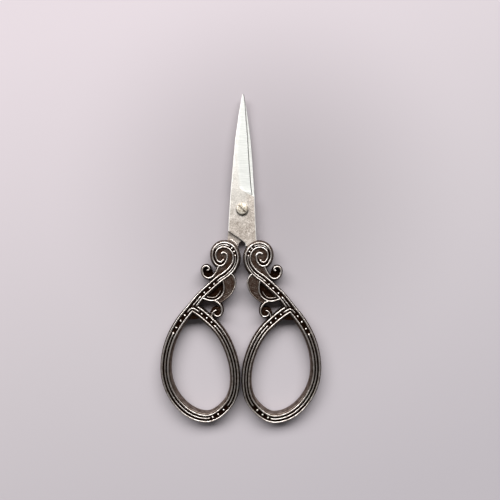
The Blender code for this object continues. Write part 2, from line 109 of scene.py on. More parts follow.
# Fine relief and grinding that only this file has
BEAD_RADIUS = 0.44
CURL_END_RADIUS, CURL_END_DROP = 0.5, 0.115
# the depths of the black sheets of painted shade in the half-moon and the outer curl
MOON_SHADE_DROP = 1.6
OUTER_CURL_SHADE_DROP = 2.1
LIP_GAP, LIP_DEPTH = 0.06, 1.15
SPINE_BEVEL, BEVEL_DROP = 0.34, 0.13
FACET_AT_ROOT, FACET_FLARE, ROOT_Y = 4.44, 0.0424, 7.9
FACET_LEAST, FACET_HOLLOW = 0.21, 0.05
WHEEL_TOP, WHEEL_RADIUS = 8.3, 6.4
HONE_WIDTH, HONE_RISE = 0.27, 0.4
NOTCH_DEPTH, NOTCH_WIDTH = 0.5, 0.2
SHOULDER_RADIUS, THREAD_RADIUS, PEEN_RADIUS = 1.5, 1.2, 1.65


# Lines. A knot is (x, y, heading in degrees, width), and the line passes it along its heading.

Line = namedtuple("Line", "place run point normal width")


def scroll_knot(across, up, heading, width):
    """A knot placed from the scroll's eye by shares of the scroll's width."""
    return (EYE_X + across * SCROLL_WIDTH, EYE_Y + up * SCROLL_WIDTH, heading, width * BAND_WIDTH)


def between(across, down, heading=0.0, width=1.0):
    """A knot placed by shares of the way from the scroll's eye to the apex."""
    return (EYE_X + across * (APEX_X - EYE_X), EYE_Y + down * (APEX_Y - EYE_Y),
            heading, width * BAND_WIDTH)


def loop_knot(across, down, heading, width):
    """A knot placed from the apex by shares of the way to the loop's side and to its foot."""
    side = LOOP_RIGHT - APEX_X if across > 0 else APEX_X - LOOP_LEFT
    return (APEX_X + across * side, APEX_Y + down * (APEX_Y - LOOP_FOOT),
            heading, width * BAND_WIDTH)


# The band: from the eye out round the scroll, down and round the loop, and back to the apex
BAND = [
    scroll_knot(0.077, 0.106, 169, 0.40),
    scroll_knot(0.003, 0.147, 180, 0.42),
    scroll_knot(-0.150, 0.003, 270, 0.46),
    scroll_knot(0.129, -0.369, 360, 0.60),
    scroll_knot(0.428, 0.072, 450, 0.47),
    scroll_knot(-0.030, 0.537, 540, 0.69),
    scroll_knot(-0.572, -0.078, 630, 0.72),
    between(0.005, 0.408, 689, 0.83),
    between(0.515, 0.658, 677, 0.85),
    loop_knot(0.068, -0.013, 671, 1.00),
    loop_knot(0.505, -0.150, 661, 1.03),
    loop_knot(1.0, -0.539, 630, 1.00),
    loop_knot(0.325, -0.895, 584, 0.98),
    loop_knot(-0.380, -1.0, 540, FOOT_WIDTH),
    loop_knot(-0.838, -0.879, 489, 0.95),
    loop_knot(-1.0, -0.655, 450, SIDE_WIDTH),
    loop_knot(-0.953, -0.490, 436, 0.98),
    loop_knot(-0.496, -0.136, 404, 0.95),
    loop_knot(-0.019, 0.018, 388, 1.00),
]
# The curl beside the scroll, and the half-moon below it with a step over its sheet of painted
# shade
OUTER_CURL = [between(0.125, 0.165, -58), between(0.286, 0.328, -52), between(0.464, 0.385, 0),
              between(0.668, 0.249, 90), between(0.546, 0.172, 180), between(0.440, 0.215, 255),
              between(0.497, 0.247, 340)]
HALF_MOON = [between(0.640, 0.742, 200), between(0.372, 0.782, 180), between(-0.029, 0.568, 90),
             between(0.030, 0.395, 66)]
MOON_STEP = [between(0.540, 0.712, 196), between(0.300, 0.730, 172), between(0.085, 0.612, 112)]
# The curl over the loop with its stem, the arch at the apex, and the leaf's edge
INNER_CURL = [between(0.290, 0.780, 196), between(0.027, 0.954, 270), between(0.165, 1.055, 360),
              between(0.285, 1.000, 450)]
STEM = [between(0.375, 1.085, 105), between(0.306, 0.985, 128), between(0.215, 0.950, 185)]
ARCH = [between(0.766, 0.981, 35), between(0.967, 0.918, -8), between(1.114, 0.983, -52)]
LEAF_EDGE = [between(-0.250, 0.305, 222), between(-0.391, 0.464, 270),
             between(-0.300, 0.622, 297), between(-0.077, 0.752, 322), between(0.135, 0.818, 350)]


def heading_vector(degrees):
    """The cosine and sine of a heading."""
    return np.array([math.cos(math.radians(degrees)), math.sin(math.radians(degrees))])


def span_points(start, end):
    """The cubic's four points from one knot to the next, close to an arc of a circle or ellipse.

    The inner two lie on the knots' headings, 4/3 tan(turn / 4) / tan(turn / 2) of the way to where
    the headings cross, or a third of the chord away where the turn is slight or very wide.
    """
    first, last = np.array(start[:2]), np.array(end[:2])
    leave, arrive = heading_vector(start[2]), heading_vector(end[2])
    chord = last - first
    length = math.hypot(*chord)
    turn = math.radians(abs(end[2] - start[2]))
    reach_out = reach_in = length / 3
    across = leave[0] * arrive[1] - leave[1] * arrive[0]
    if math.radians(8) < turn < math.radians(150) and abs(across) > 1e-6:
        out = (chord[0] * arrive[1] - chord[1] * arrive[0]) / across
        back = (leave[0] * chord[1] - leave[1] * chord[0]) / across
        if min(out, back) > 0.05 * length:
            bow = 4 / 3 * math.tan(turn / 4) / math.tan(turn / 2)
            reach_out = min(bow * out, 1.5 * length)
            reach_in = min(bow * back, 1.5 * length)
    return [first, first + leave * reach_out, last - arrive * reach_in, last]


def trace(knots, place):
    """Points, left-hand normals and widths at the places, each a knot number plus a share.

    Every span is the cubic a(1-t)^3 + 3b(1-t)^2 t + 3c(1-t)t^2 + d t^3, and the width is the mean
    of the straight run between knots over a third of a span.
    """
    spans = np.array([span_points(a, b) for a, b in zip(knots, knots[1:])])
    number = np.minimum(place.astype(int), len(knots) - 2)
    t = (place - number)[:, None]
    s = 1 - t
    a, b, c, d = (spans[number, k] for k in range(4))
    point = a * s ** 3 + 3 * b * s * s * t + 3 * c * s * t * t + d * t ** 3
    along = (b - a) * s * s + 2 * (c - b) * s * t + (d - c) * t * t
    along /= np.linalg.norm(along, axis=1)[:, None]
    widths = [knot[3] for knot in knots]
    spread = [np.interp(place + shift, range(len(knots)), widths) for shift in (-0.17, 0, 0.17)]
    return point, np.stack([-along[:, 1], along[:, 0]], axis=1), np.mean(spread, axis=0)


def line_through(knots, start, end, step):
    """Stations one step apart along the knots' line, from the start place to the end place."""
    fine = np.linspace(start, end, 3000)
    steps = np.linalg.norm(np.diff(trace(knots, fine)[0], axis=0), axis=1)
    run = np.concatenate([[0.0], np.cumsum(steps)])
    along = np.linspace(0.0, run[-1], max(3, round(run[-1] / step) + 1))
    place = np.interp(along, run, fine)
    return Line(place, along, *trace(knots, place))


def points_along(flat, count):
    """The count of evenly spaced points along a chain of flat points."""
    steps = np.linalg.norm(np.diff(flat, axis=0), axis=1)
    run = np.concatenate([[0.0], np.cumsum(steps)])
    along = np.linspace(0.0, run[-1], count)
    return np.stack([np.interp(along, run, flat[:, k]) for k in (0, 1)], axis=1)


def ease(share):
    """0 below 0, 1 above 1, and 3s^2 - 2s^3 between."""
    share = np.clip(share, 0.0, 1.0)
    return share * share * (3 - 2 * share)


def grain(x, y, pitch, seed):
    """A smooth uneven field, mostly from -1 to 1: 2.6 times the mean of 14 plane sine waves."""
    draw = np.random.default_rng(seed)
    total = np.zeros_like(x)
    waves = 14
    for _ in range(waves):
        angle, phase = draw.uniform(0, 2 * math.pi, 2)
        wave = 2 * math.pi / (pitch * draw.uniform(0.7, 1.5))
        total += np.sin((x * math.cos(angle) + y * math.sin(angle)) * wave + phase)
    return total / waves * 2.6


# Shells. A shell is (points, quads, end triangles, marks), and a mark is a number at each point
# that a finish reads.

def shell(rings, **marks):
    """A closed surface through rings of points, an array (ring, corner, xyz).

    Neighbouring rings are joined by quads and each end is a fan about its ring's middle. The sign
    of the enclosed volume turns the faces outward.
    """
    rows, corners = rings.shape[:2]
    index = np.arange(rows * corners).reshape(rows, corners)
    after = np.roll(index, -1, axis=1)
    sides = np.stack([index[:-1], after[:-1], after[1:], index[1:]], axis=2).reshape(-1, 4)
    first, last = rows * corners, rows * corners + 1
    near = np.stack([after[0], index[0], np.full(corners, first)], axis=1)
    far = np.stack([index[-1], after[-1], np.full(corners, last)], axis=1)
    points = np.concatenate([rings.reshape(-1, 3), [rings[0].mean(0), rings[-1].mean(0)]])
    ends = np.concatenate([near, far])
    triangles = np.concatenate([sides[:, :3], sides[:, [0, 2, 3]], ends])
    a, b, c = (points[triangles[:, k]] for k in range(3))
    if np.einsum("ij,ij->i", a, np.cross(b, c)).sum() < 0:
        sides, ends = sides[:, ::-1], ends[:, ::-1]
    spread = {name: np.concatenate([np.broadcast_to(value, (rows, corners)).ravel(),
                                    [np.mean(value), np.mean(value)]])
              for name, value in marks.items()}
    return points, sides, ends, spread


def carried(line, across, up, **marks):
    """A section carried along a line: across to its left, up from the middle plane."""
    flat = line.point[:, None] + line.normal[:, None] * across[..., None]
    return shell(np.concatenate([flat, MIDDLE + up[..., None]], axis=2), **marks)


def mirrored_ring(across, up, polish):
    """A whole section from its upper half, which runs from one wall's middle to the other's."""
    return (np.concatenate([across, across[:, -2:0:-1]], axis=1),
            np.concatenate([up, -up[:, -2:0:-1]], axis=1),
            np.concatenate([polish, polish[:, -2:0:-1]], axis=1))


# A rounded ridge: share of its half-width, share of its height, and how bright rubbing left it
RIDGE = np.array([
    (-1.40, 0.00, 0.00), (-1.12, 0.04, 0.00), (-1.02, 0.22, 0.04), (-0.97, 0.56, 0.40),
    (-0.82, 0.78, 0.85), (-0.50, 0.93, 1.00), (0.00, 1.00, 1.00), (0.50, 0.93, 1.00),
    (0.82, 0.78, 0.85), (0.97, 0.56, 0.40), (1.02, 0.22, 0.04), (1.12, 0.04, 0.00),
    (1.40, 0.00, 0.00)])


def ridge(centre, half_width, floor, height, rubbed=1.0):
    """RIDGE set out at each station: centre + half_width * share, and floor + height * share."""
    across = centre[:, None] + half_width[:, None] * RIDGE[:, 0]
    up = floor + height[:, None] * RIDGE[:, 1]
    polish = (height / np.maximum(height.max(), 1e-6))[:, None] * RIDGE[:, 2] * rubbed
    return across, up, polish


def wall(foot, belly, side, shoulder_z, shade_middle, shade_top):
    """A bulging wall from its middle to the shoulder under the rail.

    Over a narrow ledge it is a quarter superellipse: bulge cos^0.8 across, shoulder_z sin^0.8 up.
    """
    ledge = 0.08
    angle = np.radians(np.linspace(0, 86, 10))
    bulge = np.broadcast_to(belly, foot.shape)[:, None] - ledge
    across = foot[:, None] + side * (ledge + bulge * np.cos(angle) ** 0.8)
    up = np.broadcast_to(shoulder_z * np.sin(angle) ** 0.8, across.shape)
    # painted shade: the polish eases from shade_middle at the middle to shade_top just under the
    # rail
    share = ease((np.degrees(angle) - 38) / 36)
    middle = np.broadcast_to(shade_middle, foot.shape)[:, None]
    return across, up, middle + (shade_top - middle) * share


def outside(line, low, high, run_in):
    """0 between two places and 1 from run_in past either, for each station."""
    ends = np.interp([low, high], line.place, line.run)
    past = np.maximum(ends[0] - line.run, line.run - ends[1])
    return ease(past / run_in)


# Places along the band where the rib is left out, and where a bead stands
BARE_SPANS = ((0.0, 4.3), (5.35, 5.8), (7.5, 8.2), (8.72, 8.93), (9.05, 10.14), (13.2, 13.95),
              (17.0, 17.66))
BEAD_PLACES = (5.46, 5.67, 7.62, 7.83, 8.04, 9.25, 9.64, 10.03, 10.17, 13.29, 13.54, 13.79,
               17.11, 17.32, 17.56)


def outer_rail(line):
    """Distance from the inner rail to the outer one: less than the band's width at the sides."""
    return line.width * np.interp(line.place, [8.6, 10.3, 11.4, 12.2, 14.0, 14.8, 15.8, 17.2],
                                  [1.0, 0.89, 0.89, 1.0, 1.0, 0.89, 0.89, 0.97])


def middle_line(line):
    """Distance from the inner rail to the rib and the beads."""
    return outer_rail(line) * np.interp(line.place, [5.4, 5.9, 6.4, 8.4, 8.9],
                                        [0.50, 0.56, 0.41, 0.41, 0.49])


def band():
    """The cast band: two rounded rails and a lower rib over a floor, between bulging walls.

    Each station's section is wall, ridge, ridge, ridge, wall, turned over for the lower half.
    """
    line = line_through(BAND, 2.15, 18.0, 0.32)
    width = line.width
    crown = np.minimum(RAIL_WIDTH / 2, 0.24 * width)
    rib_height = np.full_like(width, RELIEF - RIB_DROP / 2)
    for low, high in BARE_SPANS:
        rib_height *= outside(line, low, high, 0.5)
    outer = outer_rail(line)
    # the outer rail rises out of the scroll's eye, and the inner one gives way at the apex, where
    # the band's own end runs into it
    outer_rise = RELIEF * (0.1 + 0.9 * ease(line.run / 1.2)) * (line.place < 17.88)
    inner_rise = RELIEF * outside(line, 8.64, 8.83, 0.3)
    zero = np.zeros_like(width)
    # painted highlight: both rails are painted brighter from near the apex round the loop's upper
    # outer side
    rubbed = np.interp(line.place, [8.0, 8.6, 10.4, 11.2], [1.0, 1.3, 1.3, 1.0])[:, None]
    inner_shade = np.interp(line.place, [9, 11.5, 12.5, 15, 16.5], [0.4, 0.45, 0.52, 0.52, 0.42])
    outer_shade = np.interp(line.place, [8.3, 9.2, 11.0, 12.5, 15.5, 17.0],
                            [0.22, 0.5, 0.45, 0.7, 0.62, 0.4])
    inner_belly = INNER_BELLY - RAIL_WIDTH / 2
    outer_belly = OUTER_BELLY - RAIL_WIDTH / 2 + width - outer
    shoulder = HALF_FLOOR - 0.1
    rib_half = np.minimum(RIB_WIDTH / 2, 0.1 * width)
    inner_wall = wall(-crown, inner_belly, -1, shoulder, shade_middle=inner_shade,
                      shade_top=0.34)
    outer_wall = wall(outer + crown, outer_belly, 1, shoulder, shade_middle=outer_shade,
                      shade_top=0.10)
    parts = [
        inner_wall,
        [part[:, 2:] for part in ridge(zero, crown, HALF_FLOOR, inner_rise, rubbed)],
        # the rib's polish is a tenth higher: a painted highlight where the outer rail shades it
        ridge(middle_line(line), rib_half, HALF_FLOOR, rib_height, 1.1),
        [part[:, :-2] for part in ridge(outer, crown, HALF_FLOOR, outer_rise, rubbed)],
        [part[:, ::-1] for part in outer_wall],
    ]
    across, up, polish = (np.concatenate(group, axis=1) for group in zip(*parts))
    across, up, polish = mirrored_ring(across, up, polish)
    return carried(line, across, up, polish=polish)


def curl(knots, start, end, drop, crest=RAIL_WIDTH / 2, body=CURL_WIDTH / 2, ends=(1.0, 0.9),
         rubbed=(1.0, 1.0)):
    """A free curl: a rounded rail on a wider body; its thickness and its shine ease along it.

    The body's side is a quarter superellipse, (body - crest) cos^0.7 across and low sin^0.7 up.
    """
    line = line_through(knots, start, end, 0.12)
    share = ease(line.run / line.run[-1])
    scale = ends[0] + (ends[1] - ends[0]) * share
    shine = rubbed[0] + (rubbed[1] - rubbed[0]) * share
    low = MIDDLE - drop - RELIEF
    angle = np.radians(np.linspace(0, 86, 8))
    side_x = crest + (body - crest) * np.cos(angle) ** 0.7
    side_z = low * np.sin(angle) ** 0.7
    shades = 0.16 - 0.12 * ease((np.degrees(angle) - 50) / 36)
    top = RIDGE[2:-2]
    half_x = np.concatenate([-side_x, top[:, 0] * crest, side_x[::-1]])
    half_z = np.concatenate([side_z, low + RELIEF * top[:, 1], side_z[::-1]])
    half_p = np.concatenate([shades, top[:, 2], shades[::-1]])
    across = scale[:, None] * half_x
    across, up, polish = mirrored_ring(across, np.broadcast_to(half_z, across.shape),
                                       shine[:, None] * half_p)
    return carried(line, across, up, polish=polish)


def rim(knots, start, end, width, drop, ends=(1.0, 1.0), rubbed=(1.0, 1.0)):
    """A curl whose body is no wider than its rail: a plain rib right through the casting."""
    return curl(knots, start, end, drop, width / 2, width / 2, ends, rubbed)


def turned(centre, radius, half_height, roundness, polish_side, polish_top, segments=24):
    """A stud about an upright axis, of radius * sqrt(1 - |z / half_height|^roundness) at z."""
    level = np.sin(np.linspace(-math.pi / 2, math.pi / 2, 15)) * 0.9995
    rim_radius = radius * np.sqrt(1 - np.abs(level) ** roundness)
    angle = np.linspace(0, 2 * math.pi, segments, endpoint=False)
    x = centre[0] + rim_radius[:, None] * np.cos(angle)
    y = centre[1] + rim_radius[:, None] * np.sin(angle)
    z = np.broadcast_to(MIDDLE + half_height * level[:, None], x.shape)
    polish = polish_side + (polish_top - polish_side) * ease((np.abs(level) - 0.75) / 0.2)
    return shell(np.stack([x, y, z], axis=2), polish=np.broadcast_to(polish[:, None], x.shape))


def bead(place):
    """A small bead standing on the band's floor, one stud through to the other face."""
    point, normal, width = trace(BAND, np.array([place]))
    line = Line(np.array([place]), None, point, normal, width)
    centre = (point + normal * middle_line(line)[:, None])[0]
    return turned(centre, BEAD_RADIUS, MIDDLE - BEAD_DROP, roundness=12, polish_side=0.05,
                  polish_top=1.4, segments=16)


def web(left, right, rows, columns, drop, polish, seed, unevenness=0.02, pitch=0.5):
    """A cast floor on both faces, ruled between two chains of points.

    Its height from the middle plane is MIDDLE - drop + unevenness * grain, and its polish rises by
    up to 0.3 on the grain's peaks.
    """
    left, right = points_along(left, rows), points_along(right, rows)
    share = np.linspace(0, 1, columns)[:, None]
    flat = left[:, None] * (1 - share) + right[:, None] * share
    rough = grain(flat[..., 0], flat[..., 1], pitch, seed)
    up = MIDDLE - drop + unevenness * rough
    rubbed = np.clip(polish + 0.3 * ease((rough - 0.5) / 0.5), 0, 1)
    upper = np.concatenate([flat, (MIDDLE + up)[..., None]], axis=2)
    lower = np.concatenate([flat, (MIDDLE - up)[..., None]], axis=2)
    return shell(np.concatenate([upper, lower[:, ::-1]], axis=1),
                 polish=np.concatenate([rubbed, rubbed[:, ::-1]], axis=1))


def points_through(knots, start, end):
    """Flat points 0.1 mm apart along the knots' line, from the start place to the end place."""
    return line_through(knots, start, end, 0.1).point


def scroll_web():
    """The floor inside the scroll and down its throat, ruled from the outer turn to the inner."""
    far = line_through(BAND, 4.2, 7.5, 0.1)
    back = points_through(BAND, 3.1, 4.2)[::-1]
    throat = points_through(OUTER_CURL, 0.1, 1.0)
    mouth = (far.point[-1] + far.normal[-1] * far.width[-1])[None]
    near = np.concatenate([back, throat, mouth])
    return web(far.point, near, rows=90, columns=40, drop=RELIEF + 0.06, polish=0.22, seed=3)


def leaf_web():
    """The leaf's floor, ruled from its rim to the half-moon, coarser than the other floors."""
    edge = points_through(LEAF_EDGE, 0.0, 4.0)
    root = trace(BAND, np.array([6.9]))[0]
    moon = points_through(HALF_MOON, 1.35, 2.8)[::-1]
    return web(edge, np.concatenate([root, moon]), rows=80, columns=40, drop=RELIEF + 0.12,
               polish=0.23, seed=5, unevenness=0.03, pitch=0.6)


def moon_shade_sheet():
    """A deep black sheet of painted shade between the band and the half-moon."""
    along_band = points_through(BAND, 7.0, 8.5)
    moon = points_through(HALF_MOON, 0.1, 3.0)[::-1]
    return web(along_band, moon, rows=60, columns=20, drop=MOON_SHADE_DROP, polish=0.02, seed=17)


def apex_web():
    """The fillet that fills the loop's pointed end, sunk and black, between an arch and a sag."""
    arch = points_through([between(0.60, 1.10, 40), between(0.968, 0.99, 0),
                           between(1.22, 1.13, -55)], 0.0, 2.0)
    foot = points_through([between(0.60, 1.10, 10), between(0.95, 1.115, 0),
                           between(1.22, 1.13, -20)], 0.0, 2.0)
    return web(arch, foot, rows=40, columns=12, drop=RELIEF + 0.5, polish=0.03, seed=11)


def outer_curl_shade_sheet():
    """A sunk black sheet of painted shade inside the outer curl."""
    arc = points_through(OUTER_CURL, 1.2, 3.9)
    back = np.array([between(0.33, 0.30)[:2], between(0.40, 0.20)[:2], between(0.50, 0.16)[:2],
                     between(0.60, 0.165)[:2]])
    return web(arc, back, rows=50, columns=16, drop=OUTER_CURL_SHADE_DROP, polish=0.0, seed=13)


def inner_curl_web():
    """The sunk floor inside the inner curl."""
    arc = points_through(INNER_CURL, 0.55, 2.6)
    back = np.array([between(0.147, 0.909)[:2], between(0.254, 0.886)[:2],
                     between(0.352, 0.917)[:2], between(0.413, 0.990)[:2],
                     between(0.361, 1.063)[:2]])
    return web(arc, back, rows=50, columns=20, drop=CURL_FLOOR_DROP, polish=0.06, seed=7)


def lip():
    """The casting's lip under the tang, ruled from the scroll's rail to a slanted front edge.

    It hangs from just under the blade by LIP_DEPTH, and by less toward the front edge.
    """
    rail = points_through(BAND, 5.1, 5.95)[::-1]
    front = points_through([(1.45, -12.6, 62, 1), (2.0, -11.75, 45, 1), (3.7, -10.4, 14, 1),
                            (4.9, -10.7, -70, 1)], 0.0, 3.0)
    inner, outer = points_along(rail, 40)[:, None], points_along(front, 40)[:, None]
    share = np.array([0.0, 0.5, 0.8, 0.93, 1.0, 1.0])[None, :, None]
    flat = inner * (1 - share) + outer * share
    under_tang = BLADE_BOTTOM - LIP_GAP
    low = under_tang - LIP_DEPTH * np.array([1.0, 1.0, 0.98, 0.9, 0.7, 0.3])
    bottom = np.broadcast_to(low, flat.shape[:2])[..., None]
    top = np.full_like(bottom, under_tang)
    polish = np.broadcast_to([0.1, 0.4, 0.45, 1.0, 1.0, 0.2], flat.shape[:2])
    return shell(np.concatenate([np.concatenate([flat, bottom], axis=2),
                                 np.concatenate([flat, top], axis=2)[:, ::-1]], axis=1),
                 polish=np.concatenate([polish, polish[:, ::-1]], axis=1))


def handle_shells():
    """Named groups of shells that make the right handle."""
    # in the scroll's eye the band is one thick rail, which thins to its inner rail
    eye_width = 2 * 0.22 * 0.46 * BAND_WIDTH
    ends = [trace(knots, np.array([place]))[0][0] for knots, place in ((BAND, 0.0), (STEM, 2.0))]
    studs = [turned(end, CURL_END_RADIUS, MIDDLE - CURL_END_DROP, roundness=3, polish_side=0.2,
                    polish_top=1.0) for end in ends]
    return {
        "band": [
            band(),
            rim(BAND, 0.0, 2.3, width=eye_width, drop=0.03, ends=(1.7, 1.0)),
            rim(ARCH, 0.0, 2.0, width=RIB_WIDTH, drop=RIB_DROP),
        ],
        "scrollwork": [
            curl(OUTER_CURL, 0.0, 6.0, drop=0.06, ends=(1.0, 1.15)),
            curl(HALF_MOON, 0.0, 3.0, drop=0.09, ends=(1.0, 0.8)),
            curl(INNER_CURL, 0.0, 3.0, drop=0.12),
            curl(STEM, 0.0, 2.0, drop=0.15),
            rim(LEAF_EDGE, 0.0, 4.0, width=LEAF_RIM, drop=LEAF_DROP, rubbed=(1.2, 0.3)),
            *studs,
        ],
        # the floors, and the black sheets of painted shade
        "floors_and_shade_sheets": [
            scroll_web(),
            leaf_web(),
            inner_curl_web(),
            apex_web(),
            moon_shade_sheet(),
            outer_curl_shade_sheet(),
            lip(),
            rim(MOON_STEP, 0.0, 2.0, width=0.5, drop=1.0, ends=(0.7, 0.9), rubbed=(0.8, 0.6)),
        ],
        "beads": [bead(place) for place in BEAD_PLACES],
    }


# Blade: its spine from the tip down to the heel, and its edge from the ricasso up to the tip

SPINE = [(-0.055 * SPINE_AT_HEEL, BLADE_REACH, -101, 1),
         (-0.51 * SPINE_AT_HEEL, 0.645 * BLADE_REACH, -97.5, 1),
         (-0.785 * SPINE_AT_HEEL, 0.273 * BLADE_REACH, -94.3, 1),
         (-SPINE_AT_HEEL, HEEL_Y, -91.5, 1)]
EDGE = [(EDGE_AT_RICASSO, RICASSO_Y + 0.24, 98, 1),
        (0.45 * SPINE_AT_HEEL, 0.49 * BLADE_REACH, 94.3, 1),
        (0.28 * SPINE_AT_HEEL, 0.74 * BLADE_REACH, 97, 1),
        (0.055 * SPINE_AT_HEEL, BLADE_REACH, 103, 1)]


def blade_rows():
    """Heights of the blade's rows, closer together where its outline turns."""
    stretches = ((TANG_Y - 1.6, TANG_Y, 5),
                 (TANG_Y, HEEL_Y - 0.5, 26),
                 (HEEL_Y - 0.5, HEEL_Y + 0.5, 14),
                 (HEEL_Y + 0.5, RICASSO_Y - 0.6, 30),
                 (RICASSO_Y - 0.6, RICASSO_Y + 0.5, 24),
                 (RICASSO_Y + 0.5, 9.0, 40),
                 (9.0, BLADE_REACH - 1.5, 150),
                 (BLADE_REACH - 1.5, BLADE_REACH, 12))
    rows = [np.linspace(low, high, count, endpoint=False) for low, high, count in stretches]
    return np.concatenate(rows + [[BLADE_REACH]])


def blade_sides(rows):
    """The blade's left and right side at each row: heel and spine, then tang, notch and edge."""
    tang_right = SPINE_AT_HEEL + 0.3
    heel = points_through([(-SPINE_AT_HEEL, HEEL_Y, -32, 1),
                           (-0.25 * SPINE_AT_HEEL, HEEL_Y - 2.3, -35, 1),
                           (tang_right - TANG_ENTRY, TANG_Y - 0.9, -62, 1)], 0, 2)
    left_chain = np.concatenate([heel[::-1], points_through(SPINE, 0, 3)[::-1]])
    tang = [(tang_right, TANG_Y - 2.0), (tang_right, TANG_Y), (SPINE_AT_HEEL, HEEL_Y + 1.5),
            (0.93 * SPINE_AT_HEEL, 0.0), (0.89 * SPINE_AT_HEEL, RICASSO_Y - 0.4),
            (0.84 * SPINE_AT_HEEL, RICASSO_Y)]
    right_chain = np.concatenate([tang, points_through(EDGE, 0, 3)])
    left = np.interp(rows, left_chain[:, 1], left_chain[:, 0])
    right = np.interp(rows, right_chain[:, 1], right_chain[:, 0])
    notch = NOTCH_DEPTH * np.exp(-((rows - RICASSO_Y + 0.05) / NOTCH_WIDTH) ** 2)
    return left, right - notch


def blade():
    """The front blade: rows across the outline, a bevelled flat and a hollow ground facet.

    The ground face rises from its shoulder as s + (thickness - s) d, d being the share of the
    facet's width from the edge, less FACET_HOLLOW sin(pi d), plus the wheel's run-out
    (WHEEL_TOP - y)^2 / 2 WHEEL_RADIUS below WHEEL_TOP. The last HONE_WIDTH to the cutting edge is
    a steep honed bevel from the shoulder down to the land. Along the sides of the flat a bevel
    falls by BEVEL_DROP (1 - share)^2.
    """
    rows = blade_rows()[:, None]
    left, right = blade_sides(rows)
    bevel = np.minimum(SPINE_BEVEL, 0.3 * (right - left))
    is_ground = rows > RICASSO_Y + 0.2
    facet = FACET_AT_ROOT + FACET_FLARE * (rows - ROOT_Y)
    below_wheel = np.maximum(WHEEL_TOP - rows, 0)
    run_out = below_wheel ** 2 / (2 * WHEEL_RADIUS)
    # the facet narrows to nothing where the wheel has run out to the flat's height
    still_cut = np.clip(1 - run_out / (BLADE_THICKNESS - FACET_LAND), 0, 1)
    reach = np.where(is_ground, facet * still_cut, 0)
    border = np.clip(right - np.maximum(reach, bevel), left + bevel, right - FACET_LEAST)

    edge_share = np.array([0.0, 0.18, 0.42, 0.7, 1.0])
    flat_share = np.linspace(0, 1, 13)[1:]
    ground_share = np.linspace(0, 1, 19)
    hone_share = np.array([-0.9, -0.5, 0.0])
    seam = 0.03
    x = np.concatenate([left + bevel * edge_share,
                        (left + bevel) + (border - seam - left - bevel) * flat_share,
                        border + (right - HONE_WIDTH - border) * ground_share,
                        right + HONE_WIDTH * hone_share], axis=1)
    y = np.broadcast_to(rows, x.shape)

    from_left = (x - left) / bevel
    from_right = (right - x) / bevel
    flat_top = BLADE_THICKNESS - BEVEL_DROP * np.clip(1 - from_left, 0, 1) ** 2
    flat_top = flat_top - BEVEL_DROP * ~is_ground * np.clip(1 - from_right, 0, 1) ** 2
    depth = np.clip((right - x) / facet, 0, 1)
    shoulder = FACET_LAND + HONE_RISE
    honed = HONE_RISE * np.clip(1 - (right - x) / HONE_WIDTH, 0, 1)
    ground_top = (shoulder + (BLADE_THICKNESS - shoulder) * depth
                  - FACET_HOLLOW * np.sin(math.pi * depth) - honed + run_out)
    top = np.where(is_ground, np.minimum(flat_top, ground_top), flat_top)

    # how far the finish is ground rather than matt: all the facet, and the flat toward the tip
    brighter = 0.4 * ease((rows + 8) / 14) + 0.4 * ease((rows - 5) / 18)
    ground = brighter * (1 - 0.9 * ease((x - 0.6) / 2.4))
    start = len(edge_share) + len(flat_share)
    softly = 0.6 + 0.4 * ease(np.linspace(0, 4, x.shape[1] - start))
    ground[:, start:] = np.where(is_ground, softly, ground[:, start:])
    under = np.broadcast_to(ease((rows - 1.5) / 2.0), x.shape)
    # a painted highlight along the bevelled sides, along only the left one where the blade is
    # ground
    rubbed = ease(1.6 * (1 - np.minimum(from_left, from_right + 9 * is_ground)))
    # painted shade at the facet's lower end and in the honed bevel, painted shadow under the other
    # blade's heel
    grime = 0.35 * ground * (below_wheel / WHEEL_RADIUS * is_ground)
    grime = grime + 0.6 * is_ground * (honed > 0)
    past_heel = x + left
    # a painted shadow: a dark line along the other blade's heel, and faint darkening past it
    painted_heel_shadow = 1.2 * np.exp(-((past_heel - 0.16) / 0.2) ** 2) + 0.06 * (past_heel > 0.12)
    painted_heel_shadow = np.clip(painted_heel_shadow, 0, 1) * (rows < HEEL_Y + 0.1)

    upper = np.stack([x, y, BLADE_BOTTOM + top], axis=2)
    lower = np.stack([x, y, np.full_like(x, BLADE_BOTTOM)], axis=2)[:, ::-1]
    return shell(np.concatenate([upper, lower], axis=1),
                 ground=np.concatenate([ground, under], axis=1),
                 grime=np.concatenate([grime, painted_heel_shadow[:, ::-1]], axis=1),
                 rubbed=np.concatenate([rubbed, np.zeros_like(rubbed)], axis=1))


# Screw

